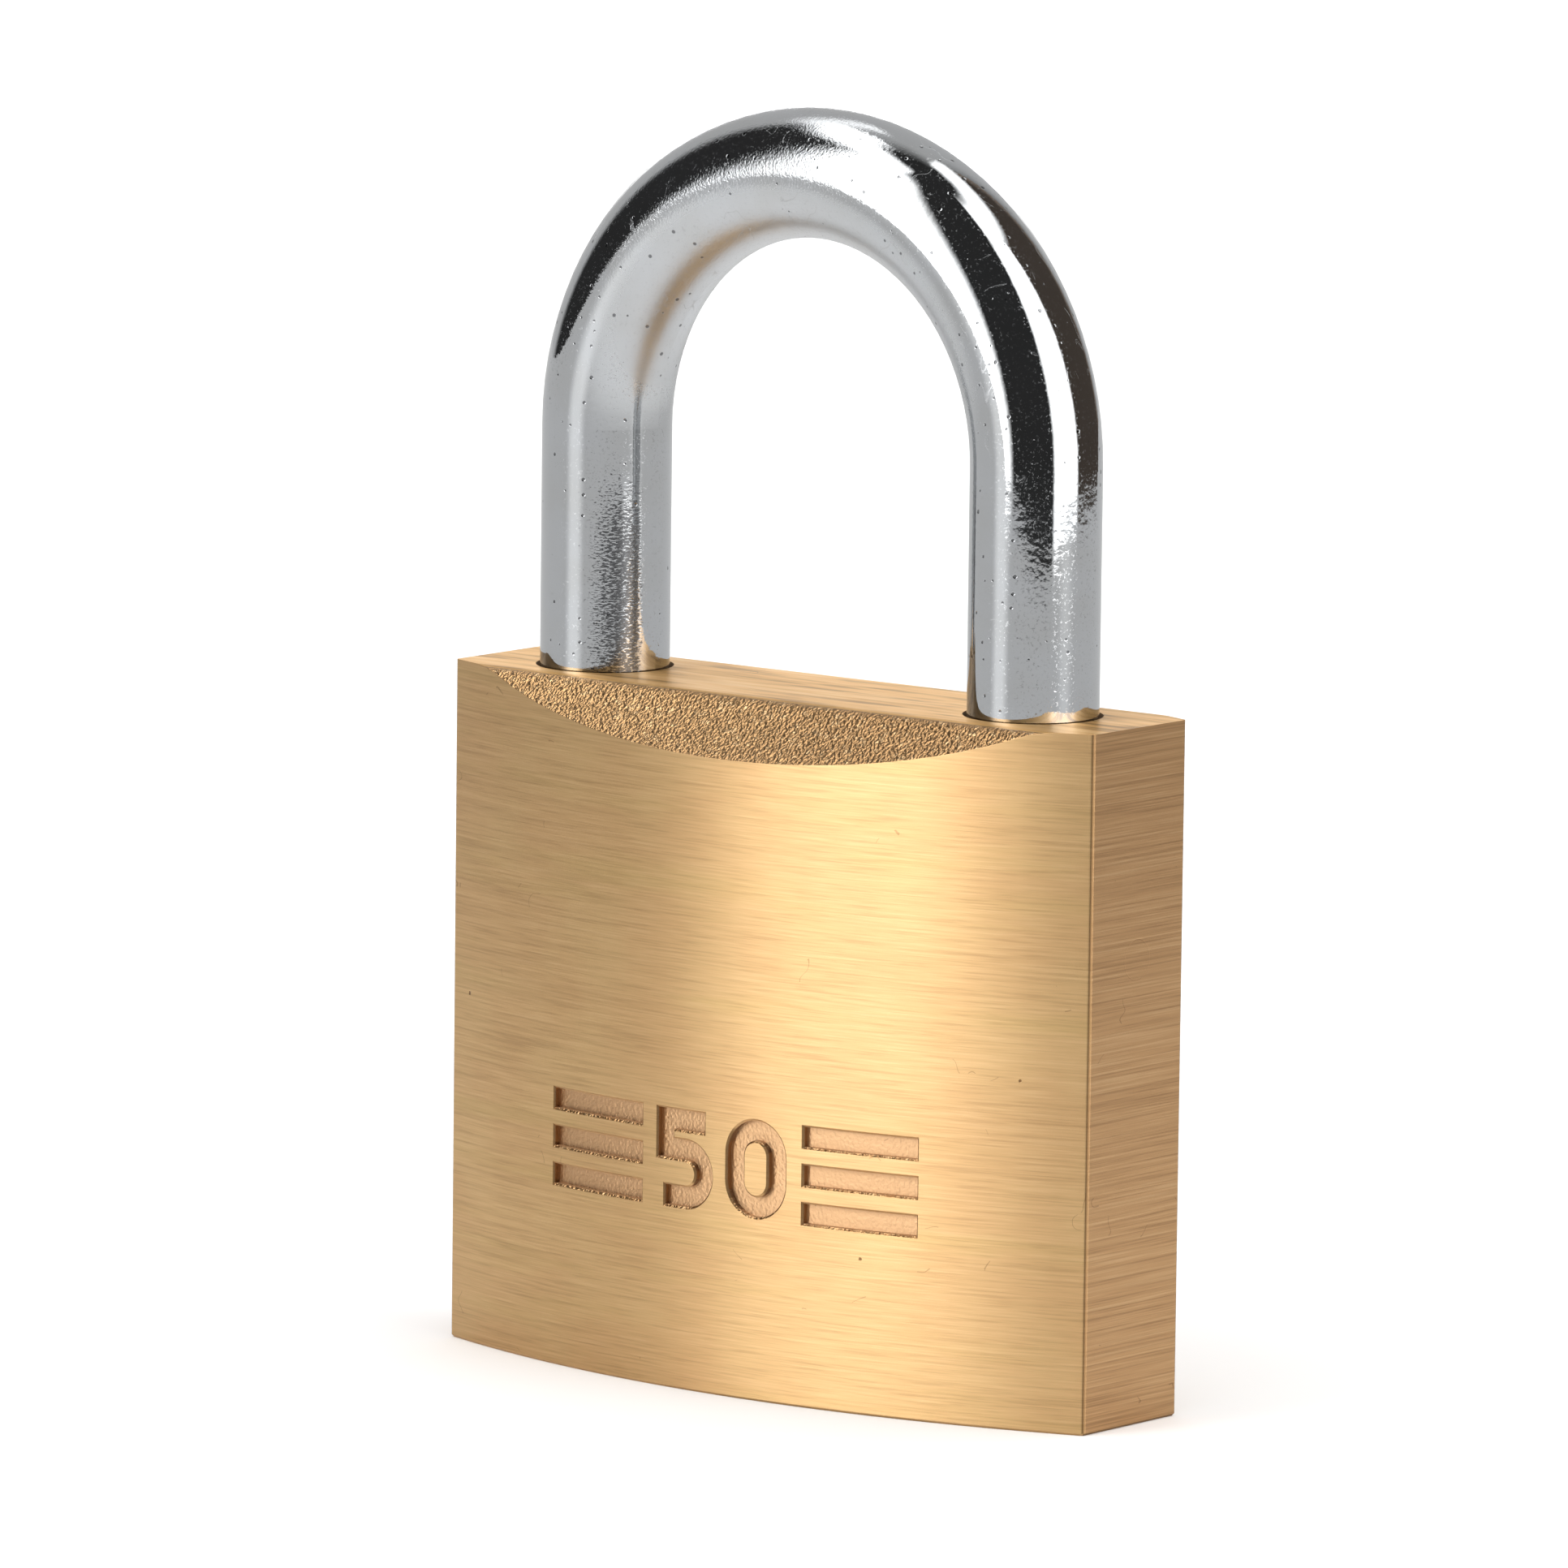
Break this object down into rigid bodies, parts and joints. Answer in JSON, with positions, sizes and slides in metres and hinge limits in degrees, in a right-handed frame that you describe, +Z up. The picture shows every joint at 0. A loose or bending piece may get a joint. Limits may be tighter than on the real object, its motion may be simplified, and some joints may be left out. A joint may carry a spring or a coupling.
{
  "type": "padlock",
  "caption": "Bowed solid brass padlock with a round chrome-plated shackle, two sprung bolts and a pin cylinder opened from the base.",
  "frame": {"origin": "middle of the body's base", "axes": "+Z up from the base to the shackle, +X from the toe leg to the heel leg, -Y out of the stamped face"},
  "size_m": [0.05, 0.0182, 0.0788],
  "materials": {
    "body_brass": "brushed",
    "plug_brass": "turned",
    "pin_brass": "turned",
    "shackle_chrome": "bright plated",
    "bolt_steel": "machined",
    "spring_steel": "drawn wire"
  },
  "bodies": {
    "body": {"lock_body": "body_brass", "bolt_bore_plug": "body_brass", "plug_retaining_pin": "body_brass", "shackle_retaining_pin": "body_brass", "shackle_spring": "spring_steel", "bolt_spring": "spring_steel", "driver_pin_1": "pin_brass", "driver_pin_2": "pin_brass", "driver_pin_3": "pin_brass", "driver_pin_4": "pin_brass", "driver_pin_5": "pin_brass", "pin_spring_1": "spring_steel", "pin_spring_2": "spring_steel", "pin_spring_3": "spring_steel", "pin_spring_4": "spring_steel", "pin_spring_5": "spring_steel", "chamber_plug_1": "body_brass", "chamber_plug_2": "body_brass", "chamber_plug_3": "body_brass", "chamber_plug_4": "body_brass", "chamber_plug_5": "body_brass"},
    "shackle": {"shackle": "shackle_chrome"},
    "plug": {"plug": "plug_brass", "cam": "bolt_steel", "key_pin_1": "pin_brass", "key_pin_2": "pin_brass", "key_pin_3": "pin_brass", "key_pin_4": "pin_brass", "key_pin_5": "pin_brass"},
    "toe_bolt": {"toe_bolt": "bolt_steel"},
    "heel_bolt": {"heel_bolt": "bolt_steel"}
  },
  "joints": [
    {"name": "shackle_lift", "type": "slide", "parent": "body", "child": "shackle", "axis": [0, 0, 1], "range_m": [0, 0.0132], "deforming": ["shackle_spring"]},
    {"name": "plug_turn", "type": "hinge", "parent": "body", "child": "plug", "pos_m": [0, 0, 0], "axis": [0, 0, 1], "range_deg": [-70, 0]},
    {"name": "toe_bolt_slide", "type": "slide", "parent": "body", "child": "toe_bolt", "axis": [1, 0, 0], "range_m": [-0.00255, 0], "deforming": ["bolt_spring"]},
    {"name": "heel_bolt_slide", "type": "slide", "parent": "body", "child": "heel_bolt", "axis": [-1, 0, 0], "range_m": [-0.00255, 0], "deforming": ["bolt_spring"]}
  ],
  "couplings": [
    {"joint": "toe_bolt_slide", "follows": "plug_turn", "m_per_rad": 0.002087},
    {"joint": "heel_bolt_slide", "follows": "plug_turn", "m_per_rad": 0.002087}
  ]
}
